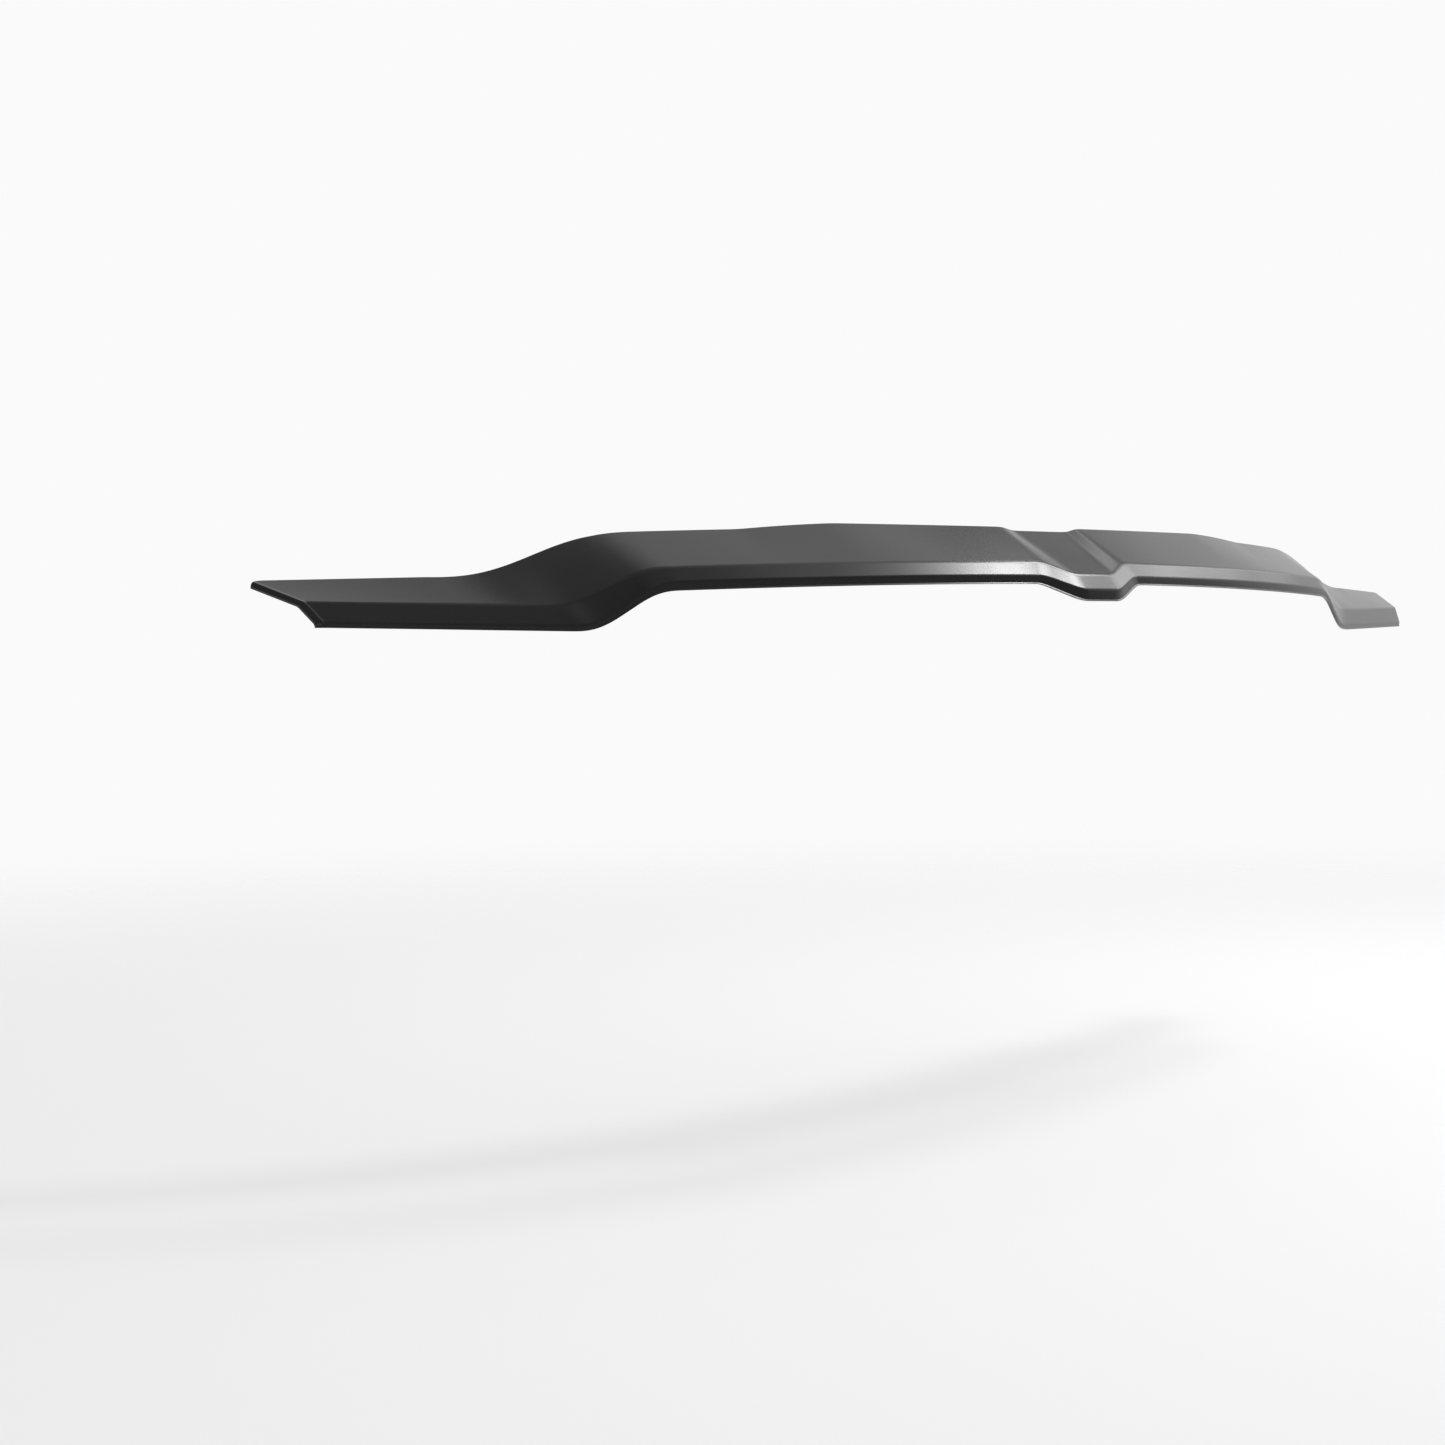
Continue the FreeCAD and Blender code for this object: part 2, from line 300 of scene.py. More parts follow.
        beyond = np.maximum((ridge_x - self.wing_end) / self.tip_length + 1.0, 0.0)
        top = points[:, 1] - points[:, 0]
        top /= np.linalg.norm(top, axis=1, keepdims=True)
        points[:, 0] += top * (self.tip_cut * beyond ** 2)[:, None]
        along = np.diff(points[:, :, 1:], axis=1)
        along /= np.linalg.norm(along, axis=-1, keepdims=True)
        normals = np.stack([-along[..., 1], along[..., 0]], -1)
        before = np.concatenate([normals[:, :1], normals], 1)
        after = np.concatenate([normals, normals[:, -1:]], 1)
        shift = (before + after) * (inset[:, None] / (1.0 + (before * after).sum(-1)))[..., None]
        points[:, :, 1:] += shift
        points[:, :, 0] += (lean[:, None] * shift).sum(-1)
        return points

    def lipped(self, ridge_x: Array, points: Array) -> Array:
        """Gives the outer corners of the sections a lip along the bottom edge, which slants
        outward over its height.

        Args:
            ridge_x: half width of each section at the ridge.
            points: outer corners of the sections.

        Returns:
            The corners with the lip's root before the bottom corner.
        """
        fold, bottom = points[:, Edge.FOLD.value], points[:, Edge.BOTTOM.value]
        down = (bottom - fold) / np.linalg.norm(bottom - fold, axis=1, keepdims=True)
        out = np.stack([np.zeros(len(down)), down[:, 2], -down[:, 1]], -1)
        out[:, 0] = (self.lean(ridge_x) * out[:, 1:]).sum(-1)
        root, tip = bottom - down * self.lip_height, bottom + out * self.lip_reach
        return np.concatenate([points[:, :Edge.BOTTOM.value], root[:, None], tip[:, None]], 1)


def rounded_loop(corners: Array, radii: Array, arc_steps: tuple[int, ...],
                 flat_steps: tuple[int, ...]) -> Array:
    """Closed sections with rounded corners, all at once.

    Each corner becomes a parabola between two tangent points, which lie the radius times the
    tangent of half the turn from it. The flats between them are divided by a cosine, more
    closely beside the corners.

    Args:
        corners: sections by corners by three coordinates.
        radii: sections by corners.
        arc_steps: divisions of each corner's curve.
        flat_steps: divisions of the flat that follows each corner.

    Returns:
        Sections by points by three coordinates.
    """
    back = np.roll(corners, 1, 1) - corners
    on = np.roll(corners, -1, 1) - corners
    back_length = np.linalg.norm(back, axis=-1)
    on_length = np.linalg.norm(on, axis=-1)
    back /= back_length[..., None]
    on /= on_length[..., None]
    angle = np.arccos(np.clip((back * on).sum(-1), -1.0, 1.0))
    reach = radii * np.tan((math.pi - angle) / 2.0)
    reach = np.minimum(reach, ROUND_SHARE * np.minimum(back_length, on_length))[..., None]
    enter, leave = corners + back * reach, corners + on * reach
    loop = []
    for at, (curve, flat) in enumerate(zip(arc_steps, flat_steps)):
        t = (np.arange(curve) / curve)[None, :, None]
        corner = corners[:, at, None]
        first, last = enter[:, at, None], leave[:, at, None]
        loop.append((1 - t) ** 2 * first + 2 * t * (1 - t) * corner + t ** 2 * last)
        t = ((1.0 - np.cos(math.pi * np.arange(flat) / flat)) / 2.0)[None, :, None]
        ahead = enter[:, (at + 1) % corners.shape[1], None]
        loop.append((1 - t) * last + t * ahead)
    return np.concatenate(loop, 1)


def mesh_piece(name: str, points: Array, faces: list[Array]) -> bpy.types.Object:
    """Puts points and faces into a new object, smooth all over.

    Args:
        name: the piece's name.
        points: vertices in millimetres, any shape that ends in three coordinates.
        faces: arrays of vertex numbers, one row for each face.

    Returns:
        The new object, linked to the scene.
    """
    mesh = bpy.data.meshes.new(name)
    rows = [face for part in faces for face in part.tolist()]
    mesh.from_pydata((points.reshape(-1, 3) * MM).tolist(), [], rows)
    mesh.polygons.foreach_set("use_smooth", np.ones(len(mesh.polygons), bool))
    mesh.validate()
    mesh.update()
    piece = bpy.data.objects.new(name, mesh)
    bpy.context.scene.collection.objects.link(piece)
    return piece


def ring_faces(rows: int, around: int) -> Array:
    """Quads between neighbouring closed rings.

    Args:
        rows: number of rings.
        around: points on each ring.

    Returns:
        Four vertex numbers for each quad.
    """
    row, col = np.meshgrid(np.arange(rows - 1), np.arange(around), indexing="ij")
    here, there = row * around + col, row * around + (col + 1) % around
    return np.stack([here, there, there + around, here + around], -1).reshape(-1, 4)


def cap_faces(first: int, around: int) -> Array:
    """Faces that close a ring whose second half runs back beside its first.

    Args:
        first: number of the ring's first vertex.
        around: points on the ring, an even number.

    Returns:
        Four vertex numbers for each quad.
    """
    near = np.arange(around // 2 - 1)
    far = around - 1 - near
    return first + np.stack([near, far, far - 1, near + 1], -1)


@dataclass(frozen=True)
class NodeMaker:
    """Adds shader nodes to one material."""

    tree: bpy.types.NodeTree

    def add(self, kind: str, links: dict[str, object] | None = None, **settings: object) -> bpy.types.Node:
        """Adds a node with its settings and links.

        Args:
            kind: the node's type.
            links: for each input, by name or number, a constant or another node's output.
            settings: properties of the node itself.

        Returns:
            The new node.
        """
        node = self.tree.nodes.new(kind)
        for name, value in settings.items():
            setattr(node, name, value)
        for name, value in (links or {}).items():
            if isinstance(value, bpy.types.NodeSocket):
                self.tree.links.new(value, node.inputs[name])
            else:
                node.inputs[name].default_value = value
        return node


def new_material(name: str) -> tuple[bpy.types.Material, NodeMaker]:
    """An empty node material and the maker that fills it.

    Args:
        name: the material's name.

    Returns:
        The material and a node maker for its tree.
    """
    material = bpy.data.materials.new(name)
    material.use_nodes = True
    material.node_tree.nodes.clear()
    return material, NodeMaker(material.node_tree)


@dataclass(frozen=True)
class MouldedBlack:
    """Satin black ABS, injection moulded, which reads as a dark skin with a soft sheen.

    Where the melt flowed, the black and the sheen vary a little, and shallow streaks run along
    the part. The mould's fine skin is drawn coarser than the real one, so that it shows.

    Attributes:
        colour: the darker black, and streak the lighter one.
        gloss: roughness of the sheen, and gloss_spread how much rougher it gets.
        index: refractive index.
        flow: size of the mottle in millimetres, as are the lengths below.
        grain: size of the skin's grain, with grain_depth and the share grain_strength of it.
        streak_width: across a streak, with streak_length and streak_depth.
    """

    colour: str = "151517"
    streak: str = "1b1b1d"
    gloss: float = 0.20
    gloss_spread: float = 0.06
    index: float = 1.53
    flow: float = 55.0
    grain: float = 0.9
    grain_depth: float = 0.02
    grain_strength: float = 0.05
    streak_width: float = 5.0
    streak_length: float = 220.0
    streak_depth: float = 0.03

    def build(self) -> bpy.types.Material:
        """Makes the material: the mottle mixes the two blacks and the gloss, and the streaks and
        the skin are a shallow bump.

        Returns:
            The finished material.
        """
        material, make = new_material("moulded_black_abs")
        place = make.add("ShaderNodeTexCoord").outputs["Object"]
        flow = make.add("ShaderNodeTexNoise", {
            "Vector": place, "Scale": 1.0 / (self.flow * MM), "Detail": 3.0})
        grain = make.add("ShaderNodeTexNoise", {
            "Vector": place, "Scale": 1.0 / (self.grain * MM), "Detail": 2.0})
        across = 1.0 / (self.streak_width * MM)
        drawn = make.add("ShaderNodeMapping", {"Vector": place, "Scale": (
            1.0 / (self.streak_length * MM), across, across)})
        streaks = make.add("ShaderNodeTexNoise", {
            "Vector": drawn.outputs["Vector"], "Scale": 1.0, "Detail": 2.0})
        colour = make.add("ShaderNodeMix", {
            "Factor": flow.outputs["Fac"], "A": linear(self.colour), "B": linear(self.streak)},
            data_type="RGBA")
        rough = make.add("ShaderNodeMapRange", {
            "Value": flow.outputs["Fac"], "To Min": self.gloss, "To Max": self.gloss + self.gloss_spread})
        wave = make.add("ShaderNodeBump", {
            "Height": streaks.outputs["Fac"], "Strength": 1.0, "Distance": self.streak_depth * MM})
        skin = make.add("ShaderNodeBump", {
            "Height": grain.outputs["Fac"], "Strength": self.grain_strength,
            "Distance": self.grain_depth * MM, "Normal": wave.outputs["Normal"]})
        shader = make.add("ShaderNodeBsdfPrincipled", {
            "Base Color": colour.outputs["Result"], "Roughness": rough.outputs["Result"],
            "Normal": skin.outputs["Normal"], "IOR": self.index})
        make.add("ShaderNodeOutputMaterial", {"Surface": shader.outputs["BSDF"]})
        return material


@dataclass
class Shell:
    """The moulded shell. Its sizes are in millimetres.

    Attributes:
        form: where its long edges run.
        ridge_round: outer radius along the ridge. The inner one is less by the wall.
        fold_round: outer radius along the fold. The inner one is less by the wall.
        lip_round: radius along the lip.
        cut_round: radius of the cut edges.
        end_round: radius where an end turns down.
        end_depth: depth of the turned end.
        turn_steps: sections round that turn.
        arc_steps: divisions of each of the nine corners, from the rear edge round the outside
            and back along the inside.
        flat_steps: divisions of the flat that follows each corner.
    """

    form: ShellForm
    ridge_round: float = 13.0
    fold_round: float = 6.0
    lip_round: float = 0.5
    cut_round: float = 0.25
    end_round: float = 4.0
    end_depth: float = 6.0
    turn_steps: int = 7
    arc_steps: tuple[int, ...] = (4, 10, 8, 4, 4, 5, 8, 10, 4)
    flat_steps: tuple[int, ...] = (14, 8, 4, 2, 3, 5, 8, 14, 2)

    def stations(self) -> Array:
        """Half widths of the sections from the middle to where the end turns down, closest in
        the nose and on the shoulder."""
        form = self.form
        turn = form.wing_end - self.end_round
        spans = ((0.0, 20.0, 10), (20.0, 92.0, 90), (92.0, 440.0, 60), (440.0, 680.0, 100),
                 (680.0, turn, 30))
        return np.concatenate([np.linspace(a, b, n, endpoint=False) for a, b, n in spans] + [[turn]])

    def half(self) -> Array:
        """Sections from the middle plane to the turned end, on the side of +X.

        Returns:
            Sections by points by three coordinates.
        """
        form, inner = self.form, self.form.wall
        ridge_x = self.stations()
        outer_inset = np.zeros(len(ridge_x))
        inner_inset = np.full(len(ridge_x), inner)
        turn = np.radians(np.linspace(0.0, 90.0, self.turn_steps))
        tail_x = ridge_x[-1] + self.end_round * np.sin(turn)
        tail_out = self.end_round * (1.0 - np.cos(turn))
        ridge_x = np.concatenate([ridge_x, ridge_x[-1:], tail_x])
        outer_inset = np.concatenate([outer_inset, [0.0], tail_out])
        inner_inset = np.concatenate([inner_inset, np.full(len(turn) + 1, self.end_depth)])
        outside = form.lipped(ridge_x, form.corners(ridge_x, outer_inset))
        inside = form.corners(ridge_x, inner_inset)[:, ::-1]
        corners = np.concatenate([outside, inside], 1)
        radii = np.zeros((len(ridge_x), len(self.arc_steps))) + [
            self.cut_round, self.ridge_round, self.fold_round, self.lip_round, self.cut_round,
            self.cut_round, self.fold_round - inner, self.ridge_round - inner, self.cut_round]
        radii[:, 1:3] -= outer_inset[:, None]
        return rounded_loop(corners, radii, self.arc_steps, self.flat_steps)

    def build(self, finish: bpy.types.Material) -> bpy.types.Object:
        """Makes the shell from end to end and dresses it.

        Args:
            finish: the shell's material.

        Returns:
            The finished piece.
        """
        right = self.half()
        left = right[:0:-1] * np.array([-1.0, 1.0, 1.0])
        points = np.concatenate([left, right])
        rows, around = points.shape[:2]
        last = (rows - 1) * around
        faces = [ring_faces(rows, around), cap_faces(0, around)[:, ::-1], cap_faces(last, around)]
        piece = mesh_piece("moulded_shell", points, faces)
        piece.data.materials.append(finish)
        return piece


@dataclass(frozen=True)
class FoamBlack:
    """Black double-sided foam tape, die cut, which reads as matt, dusty and finely pitted.

    Attributes:
        colour: between the cells, and cell in their middles.
        cell_size: across a cell in millimetres, with cell_depth and the share cell_strength of it.
        roughness: of its face.
        index: refractive index.
    """

    colour: str = "26262a"
    cell: str = "3a3a3e"
    cell_size: float = 0.7
    cell_depth: float = 0.1
    cell_strength: float = 0.4
    roughness: float = 0.85
    index: float = 1.5

    def build(self) -> bpy.types.Material:
        """Makes the material.

        Returns:
            The finished material.
        """
        material, make = new_material("black_foam_tape")
        place = make.add("ShaderNodeTexCoord").outputs["Object"]
        cells = make.add("ShaderNodeTexVoronoi", {"Vector": place, "Scale": 1.0 / (self.cell_size * MM)})
        colour = make.add("ShaderNodeMix", {"Factor": cells.outputs["Distance"], "A": linear(self.colour),
                                            "B": linear(self.cell)}, data_type="RGBA")
        bump = make.add("ShaderNodeBump", {
            "Height": cells.outputs["Distance"], "Strength": self.cell_strength,
            "Distance": self.cell_depth * MM})
        shader = make.add("ShaderNodeBsdfPrincipled", {
            "Base Color": colour.outputs["Result"], "Roughness": self.roughness,
            "Normal": bump.outputs["Normal"], "IOR": self.index})
        make.add("ShaderNodeOutputMaterial", {"Surface": shader.outputs["BSDF"]})
        return material


class Flat(Enum):
    """The flats of the shell that carry tape, by the corner before each."""

    TOP = 0
    BAND = 1


@dataclass
class TapeStrip:
    """One strip of foam tape on the inside of the shell. Its sizes are in millimetres.

    Attributes:
        form: the shell that it sticks to.
        flat: the flat that carries it.
        start: half width of the shell where it starts.
        end: half width where it ends.
        mirrored: whether it lies on the side of -X.
        glue: film between it and the shell.
        thick: its thickness.
        corner: radius of its long edges.
        bevel: how far its ends narrow.
        rear_width: width on the top flat, and front_width on the band.
        margin: from the rear edge of the shell.
        sections: sections along it.
        arc_steps: divisions of each long edge's curve.
        flat_steps: divisions of the face that follows each.
    """

    form: ShellForm
    flat: Flat
    start: float
    end: float
    mirrored: bool = False
    glue: float = 0.35
    thick: float = 1.2
    corner: float = 0.3
    bevel: float = 0.3
    rear_width: float = 12.0
    front_width: float = 8.0
    margin: float = 6.0
    sections: int = 60
    arc_steps: tuple[int, ...] = (4, 4, 4, 4)
    flat_steps: tuple[int, ...] = (6, 2, 6, 2)

    def build(self, name: str, node: str, finish: bpy.types.Material) -> bpy.types.Object:
        """Carries a rounded rectangle along the shell's inside, from start to end.

        Args:
            name: the piece's name.
            node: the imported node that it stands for.
            finish: the foam's material.

        Returns:
            The finished piece.
        """
        run = np.linspace(self.start, self.end, self.sections)
        ridge_x = np.concatenate([run[:1], run, run[-1:]])
        size = np.concatenate([[self.bevel], np.zeros(self.sections), [self.bevel]])
        side = np.where(ridge_x < 0.0, -1.0, 1.0)
        corners = self.form.corners(np.abs(ridge_x), np.full(len(ridge_x), self.form.wall + self.glue))
        near, far = corners[:, self.flat.value], corners[:, self.flat.value + 1]
        if self.flat is Flat.TOP:
            width, begin = self.rear_width, np.full(len(ridge_x), self.margin)
        else:
            width = self.front_width
            begin = (np.linalg.norm(far - near, axis=1) - width) / 2.0
        along = (far - near) / np.linalg.norm(far - near, axis=1, keepdims=True)
        inward = np.stack([np.zeros(len(ridge_x)), -along[:, 2], along[:, 1]], -1)
        inward /= np.linalg.norm(inward, axis=1, keepdims=True)
        inward[:, 0] = (self.form.lean(np.abs(ridge_x)) * inward[:, 1:]).sum(-1)
        one = near + along * (begin + size)[:, None] + inward * size[:, None]
        two = near + along * (begin + width - size)[:, None] + inward * size[:, None]
        depth = inward * (self.thick - 2.0 * size)[:, None]
        loop = np.stack([one, two, two + depth, one + depth], 1)
        radii = np.full(loop.shape[:2], self.corner)
        points = rounded_loop(loop, radii, self.arc_steps, self.flat_steps)
        points[..., 0] *= side[:, None]
        rows, around = points.shape[:2]
        last = (rows - 1) * around
        faces = [ring_faces(rows, around), np.arange(around)[None, ::-1], last + np.arange(around)[None]]
        if self.mirrored:
            points[..., 0] *= -1.0
            faces = [part[:, ::-1] for part in faces]
        piece = mesh_piece(name, points, faces)
        piece.data.materials.append(finish)
        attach(piece, "root")
        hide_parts(node)
        return piece


@dataclass(frozen=True)
class SoftLamp:
    """A rectangular soft lamp that hangs in one direction from the shell's middle.

    Attributes:
        name: the lamp's name.
        turn: degrees from straight behind the shell, towards +X.
        rise: degrees above the horizon.
        away: distance in metres.
        width: across, in metres.
        height: in metres.
        radiance: light sent out by each point of it, where 1 is a white sheet's.
    """

    name: str
    turn: float
    rise: float
    away: float
    width: float
    height: float
    radiance: float

    def build(self) -> None:
        """Hangs the lamp and turns it to the shell."""
        data = bpy.data.lights.new(self.name, "AREA")
        data.shape, data.size, data.size_y = "RECTANGLE", self.width, self.height
        data.energy = self.radiance * math.pi * self.width * self.height
        lamp = bpy.data.objects.new(self.name, data)
        turn, rise = math.radians(self.turn), math.radians(self.rise)
        way = Vector((math.sin(turn) * math.cos(rise), math.cos(turn) * math.cos(rise), math.sin(rise)))
        lamp.location = way * self.away
        lamp.rotation_mode = "QUATERNION"
        lamp.rotation_quaternion = way.to_track_quat("Z", "Y")
        lamp.visible_camera = False
        bpy.context.scene.collection.objects.link(lamp)


@dataclass(frozen=True)
class Patch:
    """A closer woven patch of the scrim, which thins out towards its edges. All in degrees.

    Attributes:
        turn: middle of the patch, from straight behind the shell towards +X.
        half_turn: half its width.
        rise: middle of the patch above the horizon.
        half_rise: half its height.
        open_share: share of the light that passes through its middle.
        feather: width over which it thins out.
    """

    turn: float
    half_turn: float
    rise: float
    half_rise: float
    open_share: float
    feather: float = 14.0

    def passes(self, turn: Array, rise: Array) -> Array:
        """Share of the light that passes through the patch, which is open less what its weave
        closes: one S down across it times one S down along its height.

        Args:
            turn: degrees from straight behind the shell towards +X.
            rise: degrees above the horizon.

        Returns:
            The share in each direction.
        """
        aside = np.abs((turn - self.turn + 180.0) % 360.0 - 180.0)
        above = np.abs(rise - self.rise)
        closed = (1.0 - ease(aside, self.half_turn - self.feather, self.half_turn)) * (
            1.0 - ease(above, self.half_rise - self.feather, self.half_rise))
        return 1.0 - (1.0 - self.open_share) * closed


@dataclass(frozen=True)
class Scrim:
    """A dome of black cotton scrim round the shell, hidden from the camera and from diffuse rays.
    Its patches keep parts of the gloss dark, and elsewhere it is open.

    Attributes:
        patches: its closer woven patches.
        radius: in metres.
        lowest: degrees of its hem above the horizon.
        columns: meshes of it round the shell.
        rows: meshes from the hem to the top.
        thread: colour of its threads.
    """

    patches: tuple[Patch, ...]
    radius: float = 4.2
    lowest: float = -24.0
    columns: int = 145
    rows: int = 58
    thread: str = "202020"

    def build(self) -> None:
        """Hangs the dome and gives it its weave."""
        turn, rise = np.meshgrid(np.linspace(-180.0, 180.0, self.columns),
                                 np.linspace(self.lowest, 90.0, self.rows), indexing="ij")
        passes = np.prod([patch.passes(turn, rise) for patch in self.patches], axis=0)
        turn, rise = np.radians(turn), np.radians(rise)
        points = np.stack([np.sin(turn) * np.cos(rise), np.cos(turn) * np.cos(rise), np.sin(rise)], -1)
        column, row = np.meshgrid(np.arange(self.columns - 1), np.arange(self.rows - 1), indexing="ij")
        here = column * self.rows + row
        faces = np.stack([here, here + 1, here + self.rows + 1, here + self.rows], -1).reshape(-1, 4)
        dome = mesh_piece("scrim_dome", points * self.radius / MM, [faces])
        share = dome.data.attributes.new("open_share", "FLOAT", "POINT")
        share.data.foreach_set("value", passes.ravel().astype(np.float32))
        dome.visible_camera = dome.visible_diffuse = False
        material, make = new_material("black_cotton_scrim")
        weave = make.add("ShaderNodeAttribute", attribute_name="open_share")
        thread = make.add("ShaderNodeBsdfPrincipled", {"Base Color": linear(self.thread), "Roughness": 1.0})
        hole = make.add("ShaderNodeBsdfTransparent")
        blend = make.add("ShaderNodeMixShader", {0: weave.outputs["Fac"], 1: thread.outputs["BSDF"],
                                                 2: hole.outputs["BSDF"]})
        make.add("ShaderNodeOutputMaterial", {"Surface": blend.outputs["Shader"]})
        dome.data.materials.append(material)


@dataclass(frozen=True)
class Studio:
    """Camera, lamps, floor and surroundings. Lengths are in metres.

    Attributes:
        sensor: width of the camera's sensor in millimetres.
        lens: its focal length in millimetres.
        white: colour of the floor's paint and of the world.
        dim: strength of the world where it only lights.
        floor_height: under the shell's middle.
        floor_radius: of the round floor.
        floor_sides: edges round it.
        fade_from: distance from the middle where it starts to thin out.
        fade_to: share of its radius where it is gone.
    """

    sensor: float = 36.0
    lens: float = 62.28
    white: str = "fafafa"
    dim: float = 0.8
    floor_height: float = -0.6
    floor_radius: float = 4.0
    floor_sides: int = 96
    fade_from: float = 1.2
    fade_to: float = 0.95

    def camera(self) -> None:
        """Sets the camera that the photograph was taken with, as solved from the shell's edges."""
        data = bpy.data.cameras.new("photo_camera")
        data.sensor_width, data.lens = self.sensor, self.lens
        data.clip_start, data.clip_end = 0.05, 50.0
        camera = bpy.data.objects.new("photo_camera", data)
        right, up = (0.81151787, -0.58432757, 0.00019781), (0.02338469, 0.03281506, 0.99918783)
        forward = (0.58385949, 0.81085416, -0.04029433)
        place = (-1.833355, -1.901398, -0.062026)
        camera.matrix_world = Matrix([(r, u, -f, p) for r, u, f, p in zip(right, up, forward, place)]
                                     + [(0.0, 0.0, 0.0, 1.0)])
        bpy.context.scene.collection.objects.link(camera)
        bpy.context.scene.camera = camera

    def lamps(self) -> None:
        """Hangs the soft lamps: a small key over the right with a glow to its left, a chain of
        weaker ones that runs down to the right, strips that light the ridge and the fold, two
        small ones that light the walls of the dropped middle, and faint ones at the rear and
        the left."""
        for lamp in (SoftLamp("key", 114.5, 52.5, 2.6, 0.34, 0.34, 26.0),
                     SoftLamp("glow", 119.5, 57.0, 2.7, 0.40, 0.45, 4.6),
                     SoftLamp("glow_edge", 128.0, 61.0, 2.8, 0.60, 0.50, 0.9),
                     SoftLamp("side", 93.5, 38.5, 2.8, 0.62, 0.50, 3.6),
                     SoftLamp("fold", 102.0, 32.0, 3.0, 0.26, 0.62, 4.5),
                     SoftLamp("low", 86.0, 31.0, 2.9, 0.45, 0.45, 2.7),
                     SoftLamp("lowest", 78.0, 23.0, 3.0, 0.45, 0.40, 1.3),
                     SoftLamp("strip", 92.0, 50.5, 3.1, 0.50, 0.45, 16.0),
                     SoftLamp("left_wall", 56.5, 26.5, 3.0, 0.35, 0.22, 0.35),
                     SoftLamp("right_wall", 64.0, 46.5, 3.0, 0.24, 0.26, 3.3),
                     SoftLamp("fill", 220.0, 44.0, 3.0, 0.50, 0.40, 0.6),
                     SoftLamp("rear", 58.0, 51.0, 2.8, 0.50, 0.20, 0.6)):
            lamp.build()

    def scrim(self) -> None:
        """Hangs the scrim: close woven round the front and over the top, with smaller patches
        over the left shoulder, behind the right and low at the right."""
        Scrim((Patch(240.0, 112.0, 15.0, 43.0, 0.20), Patch(255.0, 95.0, 62.0, 24.0, 0.32),
               Patch(0.0, 200.0, 90.0, 19.0, 0.55, 10.0), Patch(2.0, 28.0, 78.0, 11.0, 0.45, 8.0),
               Patch(60.0, 17.0, 41.0, 10.0, 0.34, 8.0),
               Patch(124.0, 18.0, -3.0, 21.0, 0.66, 7.0))).build()

    def surroundings(self) -> None:
        """A white world, as the camera and the gloss see it, that lights as a dimmer one."""
        world = bpy.data.worlds.new("white_studio")
        bpy.context.scene.world = world
        world.use_nodes = True
        world.node_tree.nodes.clear()
        make = NodeMaker(world.node_tree)
        path = make.add("ShaderNodeLightPath").outputs
        seen = path["Is Camera Ray"]
        for other in ("Is Glossy Ray", "Is Transmission Ray"):
            seen = make.add("ShaderNodeMath", {0: seen, 1: path[other]}, operation="MAXIMUM").outputs[0]
        strength = make.add("ShaderNodeMapRange", {"Value": seen, "To Min": self.dim, "To Max": 1.0})
        light = make.add("ShaderNodeBackground", {"Color": linear(self.white),
                                                  "Strength": strength.outputs["Result"]})
        make.add("ShaderNodeOutputWorld", {"Surface": light.outputs["Background"]})

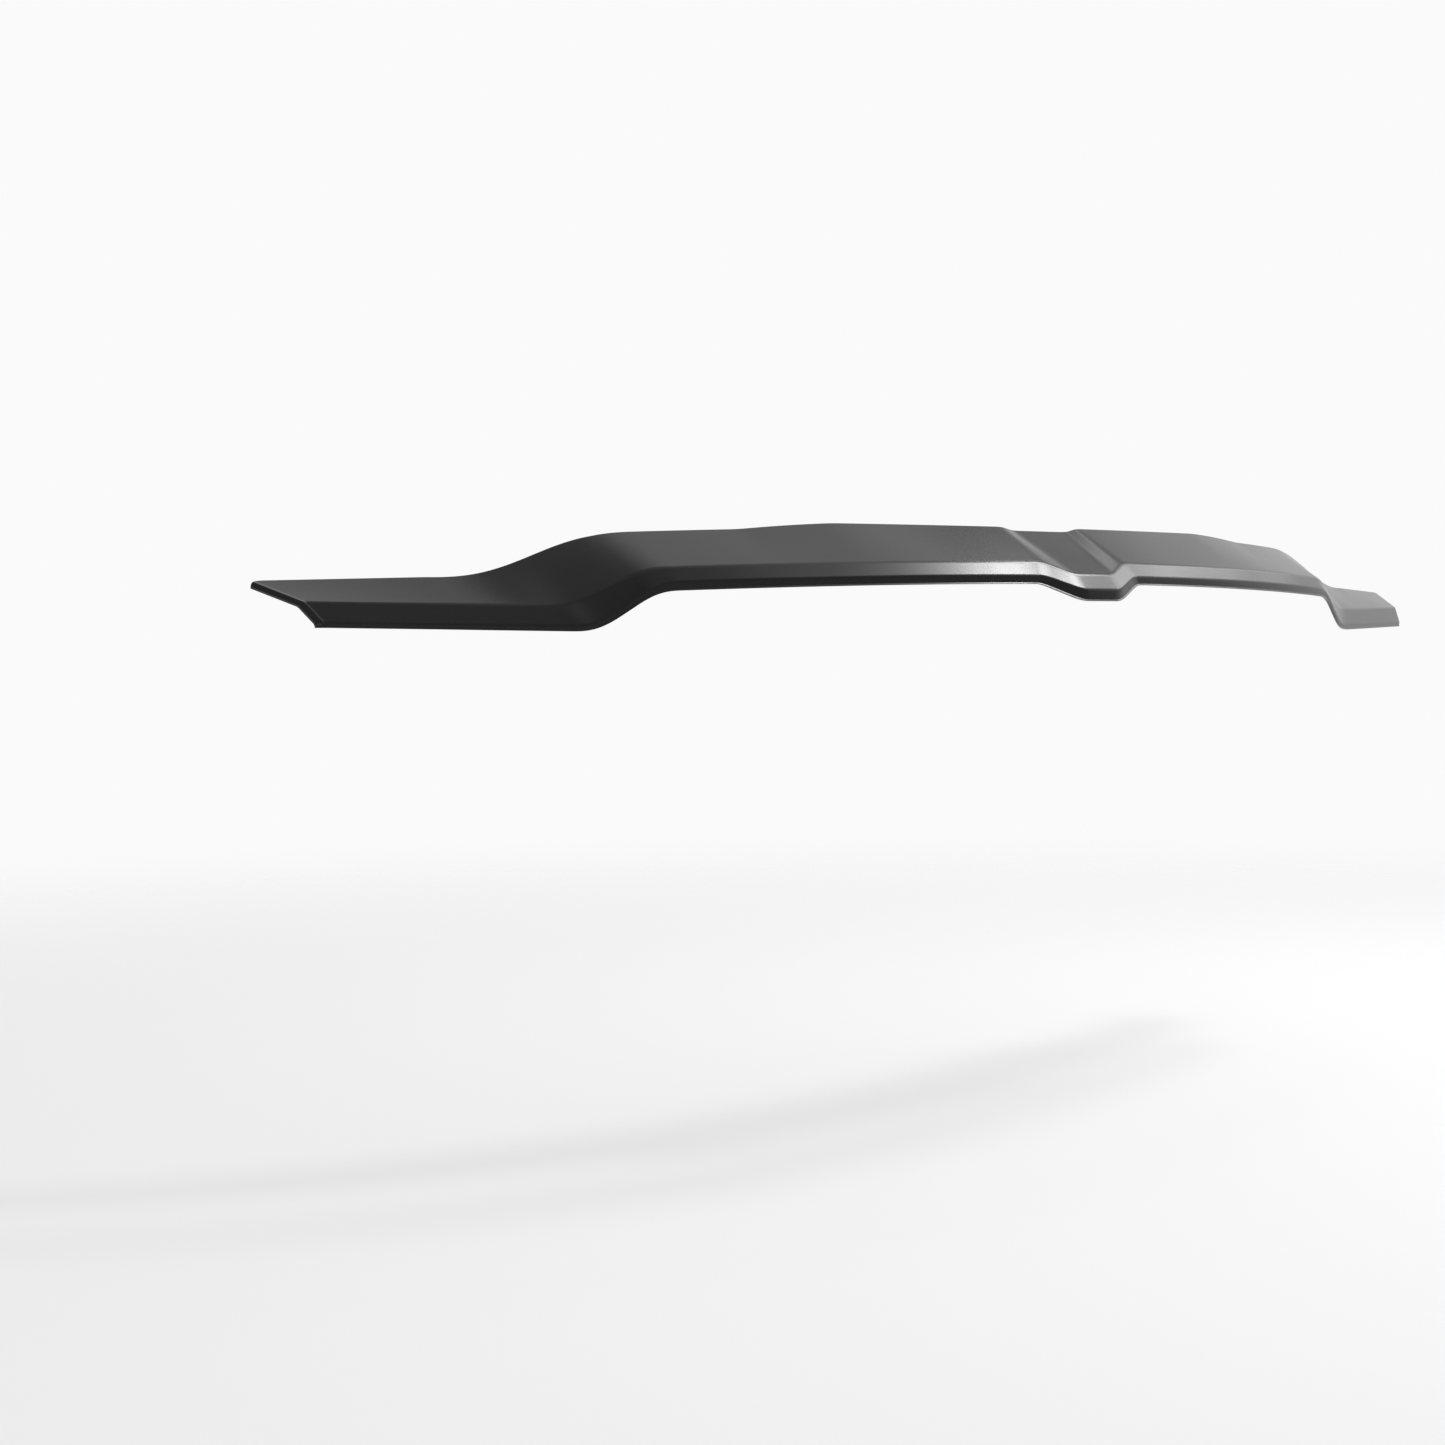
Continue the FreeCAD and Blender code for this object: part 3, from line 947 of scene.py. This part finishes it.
    def floor(self) -> None:
        """Lays a pale floor that thins out with distance, so that no edge of it shows."""
        turn = np.linspace(0.0, 2.0 * math.pi, self.floor_sides, endpoint=False)
        low = np.full(self.floor_sides, self.floor_height / self.floor_radius)
        rim = np.stack([np.cos(turn), np.sin(turn), low], -1)
        face = np.arange(self.floor_sides)[None]
        floor = mesh_piece("studio_floor", rim * self.floor_radius / MM, [face])
        material, make = new_material("pale_painted_floor")
        place = make.add("ShaderNodeTexCoord").outputs["Object"]
        reach = make.add("ShaderNodeVectorMath", {0: place}, operation="LENGTH")
        thin = make.add("ShaderNodeMapRange", {
            "Value": reach.outputs["Value"], "From Min": self.fade_from,
            "From Max": self.floor_radius * self.fade_to}, interpolation_type="SMOOTHSTEP")
        paint = make.add("ShaderNodeBsdfPrincipled", {"Base Color": linear(self.white), "Roughness": 0.8})
        clear = make.add("ShaderNodeBsdfTransparent")
        blend = make.add("ShaderNodeMixShader", {0: thin.outputs["Result"], 1: paint.outputs["BSDF"],
                                                 2: clear.outputs["BSDF"]})
        make.add("ShaderNodeOutputMaterial", {"Surface": blend.outputs["Shader"]})
        floor.data.materials.append(material)


@dataclass(frozen=True)
class TapeLayout:
    """Where the strips of tape lie along the shell, in millimetres.

    Attributes:
        nose_half: half length of the strips in the nose.
        nose_gap: from the nose's wall to the first long strip.
        space: between the two long strips of a side.
        shoulder_gap: between a strip and the shoulder.
        end_gap: between the wing's strip and the end.
    """

    nose_half: float = 18.0
    nose_gap: float = 15.0
    space: float = 32.0
    shoulder_gap: float = 20.0
    end_gap: float = 30.0

    def build(self, form: ShellForm, finish: bpy.types.Material) -> list[bpy.types.Object]:
        """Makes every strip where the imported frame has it.

        Args:
            form: the shell's form.
            finish: the foam's material.

        Returns:
            The pieces.
        """
        first = form.noses[Edge.BOTTOM.value].wall + self.nose_gap
        last = form.middle_half - self.shoulder_gap
        length = (last - first - self.space) / 2.0
        runs = (("inner", first, first + length), ("outer", last - length, last),
                ("wing", form.rear_end + self.shoulder_gap, form.wing_end - self.end_gap))
        pieces = []
        for flat, edge in ((Flat.TOP, "rear"), (Flat.BAND, "front")):
            pad = TapeStrip(form, flat, -self.nose_half, self.nose_half)
            pieces.append(pad.build(f"foam_nose_{edge}", f"tape_nose_{edge}", finish))
            for place, start, end in runs:
                for side in ("right", "left"):
                    strip = TapeStrip(form, flat, start, end, side == "left")
                    rest = f"{edge}_{place}_{side}"
                    pieces.append(strip.build(f"foam_{rest}", f"tape_{rest}", finish))
        return pieces


def main() -> None:
    """Builds every sub-assembly in order and reports each piece."""
    logging.basicConfig(level=logging.INFO, format="%(message)s")
    studio = Studio()
    studio.camera()
    form = ShellForm()
    shell = Shell(form).build(MouldedBlack().build())
    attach(shell, "root")
    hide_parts("hood_shield")
    for piece in [shell] + TapeLayout().build(form, FoamBlack().build()):
        log.info("%s: %d faces", piece.name, len(piece.data.polygons))
    studio.lamps()
    studio.surroundings()
    studio.scrim()
    studio.floor()
    bpy.context.scene.view_settings.view_transform = "Standard"


if __name__ == "__main__":
    main()
